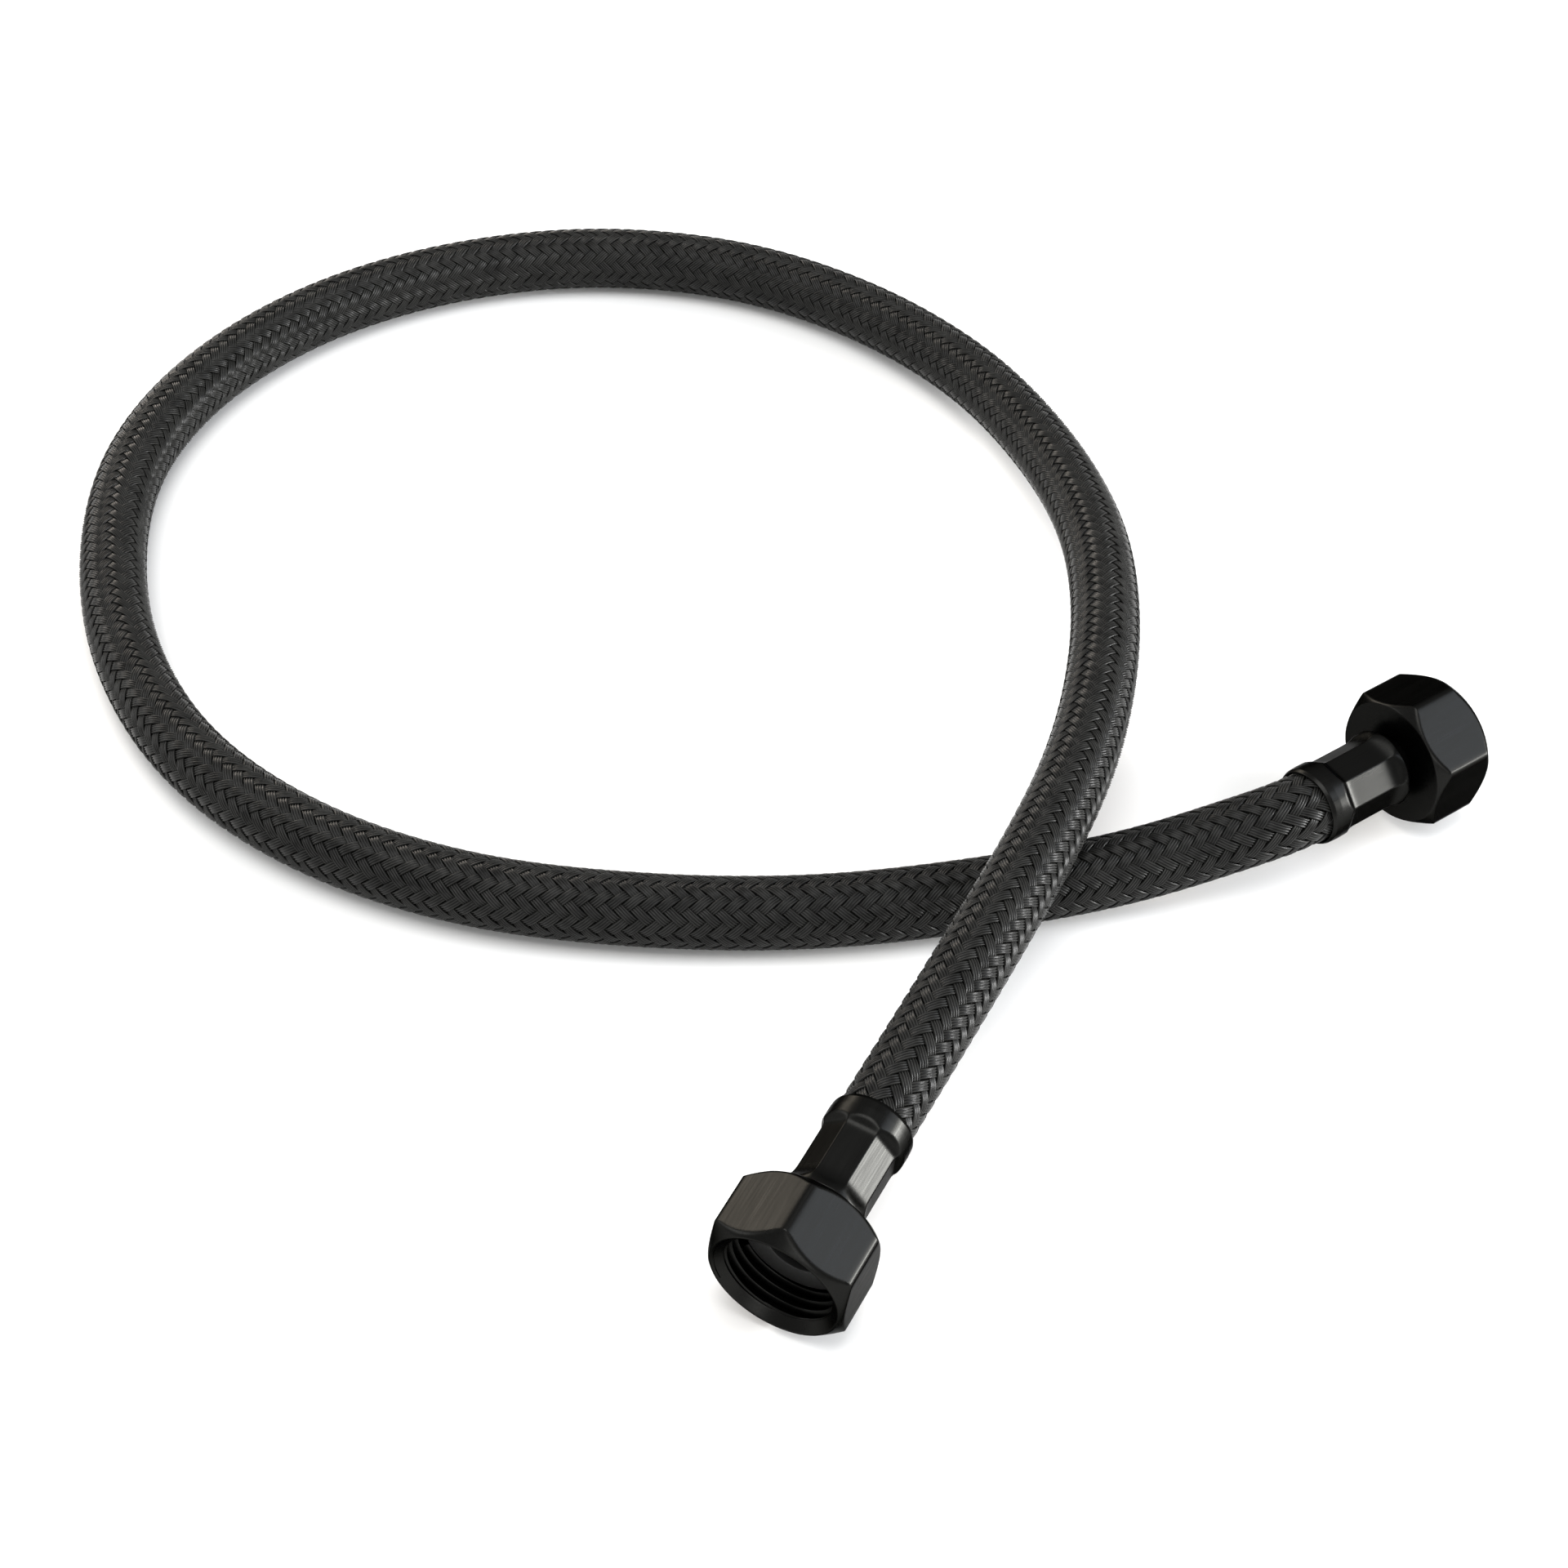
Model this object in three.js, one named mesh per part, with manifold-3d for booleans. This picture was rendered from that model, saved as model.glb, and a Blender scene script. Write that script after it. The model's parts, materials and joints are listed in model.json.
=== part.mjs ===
// A flexible braided supply line for a tap or a cistern: a rubber liner inside a woven nylon
// sleeve, with a crimped end fitting and a swivelling hexagon nut at each end.
// Millimetres, +Z up. The line lies on the plane z = 0 in one open loop that passes under
// itself, and the origin is below the middle of the two end fittings.

import * as THREE from 'three';
import { mergeVertices } from 'three/addons/utils/BufferGeometryUtils.js';
import Module from 'manifold-3d';

const wasm = await Module();
wasm.setup();

// Driving dimensions. Along a fitting, a station is 0 at the nut's mouth and negative
// towards the hose.
const CLEARANCE = 0.3;

const NUT_ACROSS_FLATS = 24;
const NUT_LENGTH = 13.5;
const NUT_MOUTH_CHAMFER = 2.4;
const NUT_REAR_CHAMFER = 1.9;
const NUT_REAR_WALL = 2;
const NUT_REAR_HOLE_RADIUS = 5.5;

// Female G 1/2 pipe thread.
const THREAD_MINOR_RADIUS = 9.32;
const THREAD_MAJOR_RADIUS = 10.3;
const THREAD_PITCH = 1.814;
const THREAD_TURNS = 3;
const THREAD_LEAD_IN = 1.2;
const RELIEF_RADIUS = 10.2;
const RELIEF_END = -7.2;

const GASKET_RADIUS = 9.2;
const GASKET_HOLE_RADIUS = 5;
const GASKET_THICKNESS = 1.4;

const NUT_PLAY = 0.8;

const STEM_FLANGE_RADIUS = 8.7;
const STEM_FLANGE_THICKNESS = 1.2;
const STEM_COLLAR_RADIUS = 5.2;
const STEM_GROOVE_RADIUS = 4.3;
const STEM_TAIL_RADIUS = 3.45;
const STEM_BARB_HEIGHT = 0.2;
const STEM_BORE_RADIUS = 2.5;

const FERRULE_ACROSS_FLATS = 12.8;
const FERRULE_SIDES = 8;
const FERRULE_END = -15.7;
const FERRULE_END_WALL = 2.1;
const FERRULE_CHAMFER = 0.4;
const FERRULE_BORE_RADIUS = 5.6;
const LIP_RADIUS = 7.45;
const LIP_BORE_RADIUS = 6.95;
const LIP_END = -34.7;
const LIP_LENGTH = 4.1;
const LIP_TAPER = 1.1;
const RIM_LENGTH = 1.3;

const HOSE_RADIUS = 6.7;
const BRAID_BORE_RADIUS = 5.75;
const LINER_RADIUS = 5.35;
const LINER_BORE_RADIUS = 4;
const CRIMPED_BRAID_RADIUS = 5.3;
const CRIMPED_BRAID_BORE_RADIUS = 4.75;
const CRIMPED_LINER_RADIUS = 4.45;
const CRIMPED_LINER_BORE_RADIUS = 3.75;

const ROUND_SEGMENTS = 24;
const HOSE_SIDES = 10;
const HOSE_STEPS = 38;
const SLEEVE_OVERLAP = 0.5;

// Where each fitting lies: the plan place of its nut's mouth, the heading of its axis
// (anticlockwise from +Y), how far the axis dips, and how far nut and ferrule are turned on it.
const FRONT = {
  mouth: [-23.4, -88.5],
  headingDeg: 180,
  dipDeg: 6,
  nutTurnDeg: -6.5,
  ferruleTurnDeg: -30,
};
const REAR = {
  mouth: [25.43, 84.69],
  headingDeg: -26,
  dipDeg: 0,
  nutTurnDeg: 8,
  ferruleTurnDeg: 30,
};

// The hose's centre line, from the front fitting's lip to the rear one's.
const HOSE_ROUTE = [
  [-23.4, -53.99, 17.07],
  [-23.4, -49.99, 17.49],
  [-23.5, -31, 19.2],
  [-24, -8, 20.7],
  [-25.2, 14, 21.1],
  [-27.8, 36, 20.8],
  [-33.5, 59, 19.5],
  [-43.5, 85.5, 16.8],
  [-58, 112, 13.4],
  [-80, 137.5, 10],
  [-108, 158.5, 7.7],
  [-140, 170, 6.8],
  [-172, 171, 6.75],
  [-204, 160, 6.75],
  [-230, 138, 6.75],
  [-246.5, 110, 6.75],
  [-252.5, 78, 6.75],
  [-247.5, 47, 6.75],
  [-232, 18.5, 6.75],
  [-209, -6.5, 6.75],
  [-181, -24, 6.75],
  [-150, -31.5, 6.75],
  [-118, -29.8, 6.75],
  [-87, -19.8, 6.75],
  [-59, -5.5, 6.75],
  [-34, 13, 6.9],
  [-15, 29.2, 7.8],
  [-3, 39.8, 10.4],
  [2.6, 44.2, 12.5],
  [8.47, 49.9, 13.7],
  [10.22, 53.5, 13.72],
];

const BLACK_METAL = { color: 0x232322, roughness: 0.38, metalness: 0.9 };
const BLACK_BRAID = { color: 0x1c1c1b, roughness: 0.55, metalness: 0 };
const BLACK_RUBBER = { color: 0x141414, roughness: 0.8, metalness: 0 };

const radians = THREE.MathUtils.degToRad;

function namedMesh(name, geometry, finish) {
  const mesh = new THREE.Mesh(geometry, new THREE.MeshStandardMaterial(finish));
  mesh.name = name;
  return mesh;
}

// A solid for joining and cutting, from a closed geometry.
function solidOf(geometry) {
  const bare = geometry.clone();
  bare.deleteAttribute('normal');
  bare.deleteAttribute('uv');
  const merged = mergeVertices(bare, 1e-4);
  const mesh = new wasm.Mesh({
    numProp: 3,
    vertProperties: new Float32Array(merged.attributes.position.array),
    triVerts: new Uint32Array(merged.index.array),
  });
  return new wasm.Manifold(mesh);
}

function geometryOf(solid) {
  const mesh = solid.getMesh();
  const geometry = new THREE.BufferGeometry();
  geometry.setAttribute('position', new THREE.Float32BufferAttribute(mesh.vertProperties, 3));
  geometry.setIndex(new THREE.Uint32BufferAttribute(mesh.triVerts, 1));
  return geometry;
}

// A solid of revolution about the fitting's axis. The outline is [radius, station] pairs, up
// the outside and back down the inside, and it closes on itself.
function turned(outline, segments = ROUND_SEGMENTS) {
  const points = outline.map(([radius, station]) => new THREE.Vector2(radius, station));
  points.push(points[0].clone());
  return new THREE.LatheGeometry(points, segments);
}

// A prism with flat sides, from one station to another, with a corner towards +Z.
function prism(sides, acrossFlats, from, to) {
  const cornerRadius = acrossFlats / 2 / Math.cos(Math.PI / sides);
  const geometry = new THREE.CylinderGeometry(cornerRadius, cornerRadius, to - from, sides);
  return geometry.translate(0, (from + to) / 2, 0);
}

function nutGeometry() {
  const rear = -NUT_LENGTH;
  const flatRadius = NUT_ACROSS_FLATS / 2;
  const widest = flatRadius + NUT_REAR_CHAMFER;
  const mouthRadius = widest - NUT_MOUTH_CHAMFER;
  const chamfered = turned([
    [0, rear],
    [flatRadius, rear],
    [widest, rear + NUT_REAR_CHAMFER],
    [widest, -NUT_MOUTH_CHAMFER],
    [mouthRadius, 0],
    [0, 0],
  ]);
  const past = 1;
  const wallFront = rear + NUT_REAR_WALL;
  const hollow = [
    [0, rear - past],
    [NUT_REAR_HOLE_RADIUS, rear - past],
    [NUT_REAR_HOLE_RADIUS, wallFront],
    [RELIEF_RADIUS, wallFront],
    [RELIEF_RADIUS, RELIEF_END],
    [THREAD_MINOR_RADIUS, RELIEF_END + CLEARANCE],
  ];
  for (let turn = 0; turn < THREAD_TURNS; turn += 1) {
    const crest = RELIEF_END + CLEARANCE + turn * THREAD_PITCH;
    hollow.push([THREAD_MAJOR_RADIUS, crest + THREAD_PITCH / 2]);
    hollow.push([THREAD_MINOR_RADIUS, crest + THREAD_PITCH]);
  }
  const leadInRadius = THREAD_MINOR_RADIUS + THREAD_LEAD_IN;
  hollow.push([leadInRadius, 0], [leadInRadius, past], [0, past]);
  const hexagon = prism(6, NUT_ACROSS_FLATS, rear, 0);
  const nut = solidOf(hexagon).intersect(solidOf(chamfered)).subtract(solidOf(turned(hollow)));
  return geometryOf(nut);
}

function gasketGeometry() {
  const front = RELIEF_END - CLEARANCE;
  const rear = front - GASKET_THICKNESS;
  return turned([
    [GASKET_HOLE_RADIUS, rear],
    [GASKET_RADIUS, rear],
    [GASKET_RADIUS, front],
    [GASKET_HOLE_RADIUS, front],
  ]);
}

// The brass insert: a flange that the nut pulls on, a collar through the nut's rear hole, a
// groove that the ferrule's end closes into, and a barbed tail inside the liner.
function stemGeometry() {
  const flangeRear = -NUT_LENGTH + NUT_REAR_WALL + CLEARANCE;
  const flangeFront = flangeRear + STEM_FLANGE_THICKNESS;
  const collarRear = FERRULE_END + CLEARANCE;
  const tailFront = FERRULE_END - FERRULE_END_WALL - CLEARANCE / 3;
  const tailRear = LIP_END + 3;
  const barbRadius = STEM_TAIL_RADIUS - STEM_BARB_HEIGHT;
  const barbLength = (tailFront - tailRear) / 4;
  const outline = [[barbRadius, tailRear]];
  for (let barb = 1; barb <= 3; barb += 1) {
    const crest = tailRear + barb * barbLength;
    outline.push([STEM_TAIL_RADIUS, crest]);
    outline.push([barbRadius, crest + CLEARANCE]);
  }
  outline.push(
    [barbRadius, tailFront],
    [STEM_GROOVE_RADIUS, tailFront],
    [STEM_GROOVE_RADIUS, collarRear],
    [STEM_COLLAR_RADIUS, collarRear],
    [STEM_COLLAR_RADIUS, flangeRear],
    [STEM_FLANGE_RADIUS, flangeRear],
    [STEM_FLANGE_RADIUS, flangeFront],
    [STEM_BORE_RADIUS, flangeFront],
    [STEM_BORE_RADIUS, tailRear],
  );
  return turned(outline);
}

// The crimp sleeve: a round bell mouth at the hose's end and a round rim at the nut's, pressed
// to eight flats between them, with an end wall around the stem's groove.
function ferruleGeometry() {
  const bodyRear = LIP_END + LIP_LENGTH;
  const cornerRadius = FERRULE_ACROSS_FLATS / 2 / Math.cos(Math.PI / FERRULE_SIDES);
  const past = 1;
  const rimRear = FERRULE_END - RIM_LENGTH;
  const rim = turned([
    [0, rimRear - LIP_TAPER],
    [cornerRadius - LIP_TAPER, rimRear - LIP_TAPER],
    [LIP_RADIUS, rimRear],
    [LIP_RADIUS, FERRULE_END - FERRULE_CHAMFER],
    [LIP_RADIUS - FERRULE_CHAMFER, FERRULE_END],
    [0, FERRULE_END],
  ]);
  const lip = turned([
    [0, LIP_END],
    [LIP_RADIUS, LIP_END],
    [LIP_RADIUS, bodyRear],
    [cornerRadius - LIP_TAPER, bodyRear + LIP_TAPER],
    [0, bodyRear + LIP_TAPER],
  ]);
  const hollow = turned([
    [0, LIP_END - past],
    [LIP_BORE_RADIUS, LIP_END - past],
    [LIP_BORE_RADIUS, LIP_END + 1.7],
    [FERRULE_BORE_RADIUS, LIP_END + 4.8],
    [FERRULE_BORE_RADIUS, FERRULE_END - FERRULE_END_WALL],
    [STEM_GROOVE_RADIUS + CLEARANCE, FERRULE_END - FERRULE_END_WALL],
    [STEM_GROOVE_RADIUS + CLEARANCE, FERRULE_END + past],
    [0, FERRULE_END + past],
  ]);
  const octagon = prism(FERRULE_SIDES, FERRULE_ACROSS_FLATS, bodyRear, rimRear);
  const outside = solidOf(octagon).add(solidOf(lip)).add(solidOf(rim));
  return geometryOf(outside.subtract(solidOf(hollow)));
}

// A group whose +Y is the fitting's axis, towards the mouth, and whose origin is the middle
// of the mouth, high enough for the nut's lowest corner to touch the plane z = 0.
function fittingPlace(place) {
  const cornerRadius = NUT_ACROSS_FLATS / 2 / Math.cos(Math.PI / 6);
  const dip = radians(place.dipDeg);
  const drop = cornerRadius * Math.cos(radians(place.nutTurnDeg)) * Math.cos(dip);
  const height = drop - NUT_MOUTH_CHAMFER * Math.sin(dip);
  const group = new THREE.Group();
  group.position.set(...place.mouth, height);
  group.rotation.set(-dip, 0, radians(place.headingDeg), 'ZXY');
  return group;
}

function endFitting(side, place) {
  const group = fittingPlace(place);
  const nut = namedMesh(`${side}_nut`, nutGeometry(), BLACK_METAL);
  nut.rotation.y = radians(place.nutTurnDeg);
  const ferrule = namedMesh(`${side}_ferrule`, ferruleGeometry(), BLACK_METAL);
  ferrule.rotation.y = radians(place.ferruleTurnDeg);
  const stem = namedMesh(`${side}_stem`, stemGeometry(), BLACK_METAL);
  const gasket = namedMesh(`${side}_gasket`, gasketGeometry(), BLACK_RUBBER);
  group.add(nut, ferrule, stem, gasket);
  return group;
}

function ring(radius, boreRadius) {
  const circle = (size) => Array.from({ length: HOSE_SIDES }, (_, side) => {
    const angle = (side * 2 * Math.PI) / HOSE_SIDES;
    return new THREE.Vector2(size * Math.cos(angle), size * Math.sin(angle));
  });
  const shape = new THREE.Shape(circle(radius));
  shape.holes.push(new THREE.Path(circle(boreRadius)));
  return shape;
}

// One layer of the hose: the free run along the route, joined to a sleeve at each end that is
// squeezed down inside the ferrule.
function hoseLayer(name, sizes, finish) {
  const route = HOSE_ROUTE.map((point) => new THREE.Vector3(...point));
  const run = new THREE.ExtrudeGeometry(ring(sizes.radius, sizes.boreRadius), {
    steps: HOSE_STEPS,
    bevelEnabled: false,
    extrudePath: new THREE.CatmullRomCurve3(route, false, 'centripetal'),
  });
  const crimped = turned([
    [sizes.boreRadius, LIP_END - SLEEVE_OVERLAP],
    [sizes.radius, LIP_END - SLEEVE_OVERLAP],
    [sizes.radius, LIP_END + 1.5],
    [sizes.crimpedRadius, LIP_END + 4.5],
    [sizes.crimpedRadius, sizes.end],
    [sizes.crimpedBoreRadius, sizes.end],
    [sizes.crimpedBoreRadius, LIP_END + 4.8],
    [sizes.boreRadius, LIP_END + 2],
  ]);
  let layer = solidOf(run);
  for (const place of [FRONT, REAR]) {
    const group = fittingPlace(place);
    group.updateMatrixWorld();
    layer = layer.add(solidOf(crimped.clone().applyMatrix4(group.matrixWorld)));
  }
  return namedMesh(name, geometryOf(layer), finish);
}

function braidSleeve() {
  const sizes = {
    radius: HOSE_RADIUS,
    boreRadius: BRAID_BORE_RADIUS,
    crimpedRadius: CRIMPED_BRAID_RADIUS,
    crimpedBoreRadius: CRIMPED_BRAID_BORE_RADIUS,
    end: FERRULE_END - FERRULE_END_WALL - 0.6,
  };
  return hoseLayer('braid_sleeve', sizes, BLACK_BRAID);
}

function innerLiner() {
  const sizes = {
    radius: LINER_RADIUS,
    boreRadius: LINER_BORE_RADIUS,
    crimpedRadius: CRIMPED_LINER_RADIUS,
    crimpedBoreRadius: CRIMPED_LINER_BORE_RADIUS,
    end: FERRULE_END - FERRULE_END_WALL - 0.6,
  };
  return hoseLayer('inner_liner', sizes, BLACK_RUBBER);
}

const supplyLine = new THREE.Group();
supplyLine.add(endFitting('front', FRONT), endFitting('rear', REAR), braidSleeve(), innerLiner());

export default supplyLine;
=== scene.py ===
"""A braided supply line: the woven hose, its end fittings, the finishes and a plain studio."""

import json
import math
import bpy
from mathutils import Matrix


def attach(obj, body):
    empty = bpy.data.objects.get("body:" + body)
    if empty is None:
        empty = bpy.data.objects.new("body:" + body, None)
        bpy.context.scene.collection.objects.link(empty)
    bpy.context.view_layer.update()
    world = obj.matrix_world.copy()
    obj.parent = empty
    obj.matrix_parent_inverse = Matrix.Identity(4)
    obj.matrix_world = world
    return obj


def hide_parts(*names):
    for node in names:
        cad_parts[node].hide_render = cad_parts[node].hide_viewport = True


bl_info = {
    "name": "Braided Supply Line",
    "version": (1, 0, 0),
    "blender": (4, 5, 0),
    "location": "3D View > Sidebar > Supply Line",
    "description": "Models a braided supply line on its packed frame",
    "category": "Add Mesh",
}

import bmesh
import bpy
import numpy as np
from mathutils import Matrix, Vector

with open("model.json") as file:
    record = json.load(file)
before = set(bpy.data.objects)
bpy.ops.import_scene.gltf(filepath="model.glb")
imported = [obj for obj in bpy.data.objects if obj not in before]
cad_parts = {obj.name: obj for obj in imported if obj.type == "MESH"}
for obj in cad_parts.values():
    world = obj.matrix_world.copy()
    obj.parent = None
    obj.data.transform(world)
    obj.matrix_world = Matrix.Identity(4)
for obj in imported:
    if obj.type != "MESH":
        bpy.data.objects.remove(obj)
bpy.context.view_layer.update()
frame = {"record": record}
JOINTS = {joint["name"]: joint for joint in frame["record"]["behaviour"]["joints"]}

MM = 0.001
ENDS = ("front", "rear")

# The hose's centre line from the front ferrule's lip to the rear one's, in metres.
HOSE_ROUTE = (
    (-0.0234, -0.05399, 0.01707),
    (-0.0234, -0.04999, 0.01749),
    (-0.0235, -0.031, 0.0192),
    (-0.024, -0.008, 0.0207),
    (-0.0252, 0.014, 0.0211),
    (-0.0278, 0.036, 0.0208),
    (-0.0335, 0.059, 0.0195),
    (-0.0435, 0.0855, 0.0168),
    (-0.058, 0.112, 0.0134),
    (-0.08, 0.1375, 0.01),
    (-0.108, 0.1585, 0.0077),
    (-0.14, 0.17, 0.0068),
    (-0.172, 0.171, 0.00675),
    (-0.204, 0.16, 0.00675),
    (-0.23, 0.138, 0.00675),
    (-0.2465, 0.11, 0.00675),
    (-0.2525, 0.078, 0.00675),
    (-0.2475, 0.047, 0.00675),
    (-0.232, 0.0185, 0.00675),
    (-0.209, -0.0065, 0.00675),
    (-0.181, -0.024, 0.00675),
    (-0.15, -0.0315, 0.00675),
    (-0.118, -0.0298, 0.00675),
    (-0.087, -0.0198, 0.00675),
    (-0.059, -0.0055, 0.00675),
    (-0.034, 0.013, 0.0069),
    (-0.015, 0.0292, 0.0078),
    (-0.003, 0.0398, 0.0104),
    (0.0026, 0.0442, 0.0125),
    (0.00847, 0.0499, 0.0137),
    (0.01022, 0.0535, 0.01372),
)


def hex_colour(code):
    """An sRGB hex value, such as 1c1c1b, as linear red, green and blue."""
    channels = (int(code[i:i + 2], 16) / 255 for i in (0, 2, 4))
    return tuple(c / 12.92 if c <= 0.04045 else ((c + 0.055) / 1.055) ** 2.4 for c in channels)


def length_prop(label, text, millimetres):
    """A length that the sidebar shows in the scene's units."""
    return bpy.props.FloatProperty(
        name=label, description=text, default=millimetres * MM, min=0, subtype="DISTANCE",
        unit="LENGTH", precision=5,
    )


def colour_prop(label, text, code):
    """A colour, given as sRGB hex."""
    return bpy.props.FloatVectorProperty(
        name=label, description=text, default=hex_colour(code), size=3, min=0, max=1,
        subtype="COLOR",
    )


class HoseSettings(bpy.types.PropertyGroup):
    """Sizes and colours of the woven hose."""

    diameter: length_prop("Diameter", "Over the crowns of the braid", 13.4)
    strands: bpy.props.IntProperty(
        name="Yarns Each Way", description="Yarns wound in each direction", default=16, min=4,
    )
    braid_angle: bpy.props.FloatProperty(
        name="Braid Angle", description="Between a yarn and the hose's axis",
        default=math.radians(42), subtype="ANGLE",
    )
    yarn_width: length_prop("Yarn Width", "Across the flat band of filaments", 1.86)
    yarn_thickness: length_prop("Yarn Thickness", "Through the band of filaments", 0.46)
    weave_depth: length_prop("Weave Depth", "How far a yarn rises and dips", 0.34)
    filament_rows: bpy.props.IntProperty(
        name="Filament Rows", description="Ridges that show across a yarn", default=4, min=1,
    )
    row_depth: length_prop("Row Depth", "Depth of the grooves between filament rows", 0.2)
    tuck: length_prop("Tuck", "How far the braid runs into the ferrule's lip", 2.6)
    nylon: colour_prop("Nylon", "Black-dyed nylon yarn", "161615")
    rubber: colour_prop("Rubber", "EPDM rubber of the liner and gaskets", "141413")


class FittingSettings(bpy.types.PropertyGroup):
    """Sizes and colour of the end fittings. Stations run from the nut's mouth to the hose."""

    across_flats: length_prop("Across Flats", "Spanner size of the nut", 24)
    nut_length: length_prop("Nut Length", "Mouth to rear face", 13.5)
    mouth_chamfer: length_prop("Mouth Chamfer", "Turned on the nut's mouth end", 2.35)
    rear_chamfer: length_prop("Rear Chamfer", "Turned on the nut's rear end", 1.9)
    thread_major: length_prop("Thread Major Radius", "G 1/2 thread, at the roots", 10.48)
    thread_minor: length_prop("Thread Minor Radius", "G 1/2 thread, at the crests", 9.32)
    thread_pitch: length_prop("Thread Pitch", "G 1/2 thread, 14 to the inch", 1.814)
    ferrule_flats: length_prop("Ferrule Flats", "Across the crimped octagon", 12.8)
    ferrule_end: length_prop("Ferrule End", "Station of the ferrule's nut end", 15.7)
    lip_end: length_prop("Lip End", "Station of the ferrule's bell mouth", 34.7)
    lip_radius: length_prop("Lip Radius", "Outside of the bell mouth and the rim", 7.45)
    coat: colour_prop("Plating", "Satin black plating on brass", "20201f")


class StageSettings(bpy.types.PropertyGroup):
    """The camera's place and the studio's colours."""

    look_at: bpy.props.FloatVectorProperty(
        name="Look At", description="Point on the floor that the camera looks at",
        default=(-0.0835, 0.0284, 0), size=3, subtype="TRANSLATION", unit="LENGTH",
    )
    distance: length_prop("Distance", "From the camera to the point it looks at", 587.4)
    pitch: bpy.props.FloatProperty(
        name="Pitch", description="How far the camera looks down",
        default=math.radians(42), subtype="ANGLE",
    )
    heading: bpy.props.FloatProperty(
        name="Heading", description="Turn of the view about the vertical",
        default=math.radians(27.94), subtype="ANGLE",
    )
    focal_length: bpy.props.FloatProperty(
        name="Focal Length", description="For a sensor 36 mm wide", default=71.25,
        subtype="DISTANCE_CAMERA",
    )
    floor: colour_prop("Floor", "Matt white paper", "f9f9f8")


# Finishes


def add_node(tree, kind, inputs=None, **settings):
    """Adds a node with its settings. An input is a constant or the output that feeds it."""
    node = tree.nodes.new(kind)
    for name, value in settings.items():
        setattr(node, name, value)
    for socket, value in (inputs or {}).items():
        if isinstance(value, bpy.types.NodeSocket):
            tree.links.new(value, node.inputs[socket])
        else:
            node.inputs[socket].default_value = value
    return node


def new_material(name):
    """An empty material and its node tree, with only an output."""
    material = bpy.data.materials.new(name)
    material.use_nodes = True
    tree = material.node_tree
    tree.nodes.clear()
    add_node(tree, "ShaderNodeOutputMaterial", name="Output")
    return material, tree


def finish_material(tree, shader):
    """Links a shader to the material's output."""
    tree.links.new(shader.outputs[0], tree.nodes["Output"].inputs["Surface"])


def braided_nylon(settings):
    """Black nylon 6.6 multifilament yarn: drawn filaments lie side by side, so each float has
    fine lines along it and a crisp but broken shine. Each row of filaments also gets a painted
    highlight along its crest and painted shade in the groove beside it."""
    material, tree = new_material("braided nylon yarn")
    uv = add_node(tree, "ShaderNodeUVMap", uv_map="along_yarn").outputs["UV"]
    place = add_node(tree, "ShaderNodeTexCoord").outputs["Object"]
    # Filaments of about 0.12 mm: 15 across a yarn 1.86 mm wide, drifting a little on the way.
    filaments = add_node(
        tree, "ShaderNodeTexNoise", {"Vector": add_node(
            tree, "ShaderNodeMapping", {"Vector": uv, "Scale": (15, 0.45, 1)},
        ).outputs["Vector"], "Scale": 1.0, "Detail": 2.0, "Roughness": 0.6},
    ).outputs["Fac"]
    # Dye and wear vary over stretches of about 4 mm.
    dye = add_node(
        tree, "ShaderNodeTexNoise", {"Vector": place, "Scale": 260.0, "Detail": 2.0},
    ).outputs["Fac"]
    shade = add_node(tree, "ShaderNodeMath", {0: filaments, 1: dye}, operation="MULTIPLY")
    # Each row of filaments is painted lighter along its crest, a painted highlight, and the
    # groove beside it is painted dark, a painted shade.
    across = add_node(tree, "ShaderNodeSeparateXYZ", {"Vector": uv}).outputs["X"]
    row_place = add_node(
        tree, "ShaderNodeMath", {0: across, 1: float(settings.filament_rows)},
        operation="MULTIPLY",
    ).outputs[0]
    # crest is the painted light mask: highest along each row's crest for the painted highlight,
    # zero in the grooves for the painted shade.
    crest = add_node(
        tree, "ShaderNodeMath", {0: row_place, 1: 0.5}, operation="PINGPONG",
    ).outputs[0]
    tone_and_painted_light = add_node(
        tree, "ShaderNodeMath", {0: shade.outputs[0], 1: crest}, operation="MULTIPLY",
    ).outputs[0]
    # The grooves come out at a tenth of the nylon colour, painted shade, and the crests at up to
    # 3.2 times it, painted highlight, scaled by the filaments' and dye's own tone.
    colour = add_node(
        tree, "ShaderNodeMapRange",
        {"Value": tone_and_painted_light, "From Min": 0.0, "From Max": 0.13, "To Min": 0.1, "To Max": 3.2},
    ).outputs["Result"]
    colour = add_node(
        tree, "ShaderNodeVectorMath", {0: settings.nylon, "Scale": colour}, operation="SCALE",
    ).outputs["Vector"]
    rough = add_node(
        tree, "ShaderNodeMapRange",
        {"Value": filaments, "From Min": 0.3, "From Max": 0.7, "To Min": 0.24, "To Max": 0.36},
    ).outputs["Result"]
    bump = add_node(
        tree, "ShaderNodeBump", {"Height": filaments, "Strength": 0.5, "Distance": 0.06 * MM},
    ).outputs["Normal"]
    shader = add_node(
        tree, "ShaderNodeBsdfPrincipled",
        {"Base Color": colour, "Roughness": rough, "IOR": 1.53, "Specular IOR Level": 0.1,
         "Normal": bump},
    )
    finish_material(tree, shader)
    return material


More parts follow.
